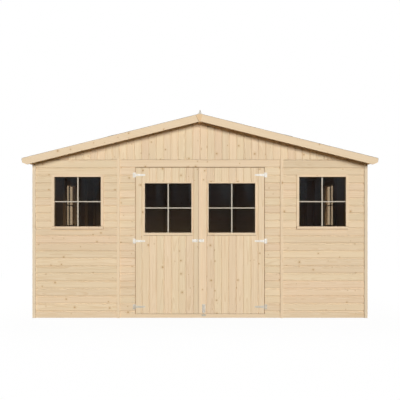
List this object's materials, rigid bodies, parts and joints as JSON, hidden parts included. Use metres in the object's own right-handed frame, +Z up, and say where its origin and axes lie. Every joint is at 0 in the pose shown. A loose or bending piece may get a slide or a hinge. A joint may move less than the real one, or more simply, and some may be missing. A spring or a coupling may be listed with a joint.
{
  "type": "wooden garden shed",
  "caption": "Hollow boarded garden shed with a low gable roof, glazed double doors that swing outwards and a paned window in the front and side walls.",
  "frame": {"origin": "on the ground under the middle of the shed", "axes": "+X to the right seen from the front, +Y from the doors towards the back, +Z up"},
  "size_m": [4.064, 3.28, 2.3882],
  "materials": {
    "cladding": "planed spruce, untreated",
    "trim": "planed spruce, untreated",
    "framing": "sawn spruce",
    "floor": "planed spruce boards",
    "roof_boards": "planed spruce boards",
    "felt": "mineral roofing felt",
    "glass": "clear float glass",
    "hinge_steel": "bright zinc-plated steel"
  },
  "bodies": {
    "shed": {"floor_bearers": "framing", "floor_deck": "floor", "door_sill": "trim", "front_wall_left": "cladding", "front_wall_right": "cladding", "door_side_panels": "cladding", "door_header": "cladding", "front_gable": "cladding", "back_wall": "cladding", "left_wall": "cladding", "right_wall": "cladding", "corner_trims": "trim", "door_trims": "trim", "front_framing": "framing", "back_framing": "framing", "side_framing": "framing", "door_frame": "framing", "ridge_beam": "framing", "purlins": "framing", "roof_deck_left": "roof_boards", "roof_deck_right": "roof_boards", "roof_felt": "felt", "bargeboards": "trim", "apex_blocks": "trim", "eaves_boards": "trim", "front_window_left": "trim", "front_window_right": "trim", "left_window": "trim", "right_window": "trim", "window_glass": "glass", "hinge_plates": "hinge_steel"},
    "left_door": {"left_door_leaf": "cladding", "left_door_ledges": "framing", "left_door_window": "trim", "left_door_glass": "glass", "left_door_hinges": "hinge_steel", "left_door_latch": "hinge_steel"},
    "right_door": {"right_door_leaf": "cladding", "right_door_ledges": "framing", "right_door_window": "trim", "right_door_glass": "glass", "right_door_hinges": "hinge_steel", "right_door_keeper": "hinge_steel", "right_door_strip": "trim", "right_door_bolt": "hinge_steel"}
  },
  "joints": [
    {"name": "left_door_swing", "type": "hinge", "parent": "shed", "child": "left_door", "pos_m": [-0.7555, -1.507, 0.9], "axis": [0, 0, -1], "range_deg": [0, 170]},
    {"name": "right_door_swing", "type": "hinge", "parent": "shed", "child": "right_door", "pos_m": [0.7555, -1.507, 0.9], "axis": [0, 0, 1], "range_deg": [0, 170]}
  ]
}
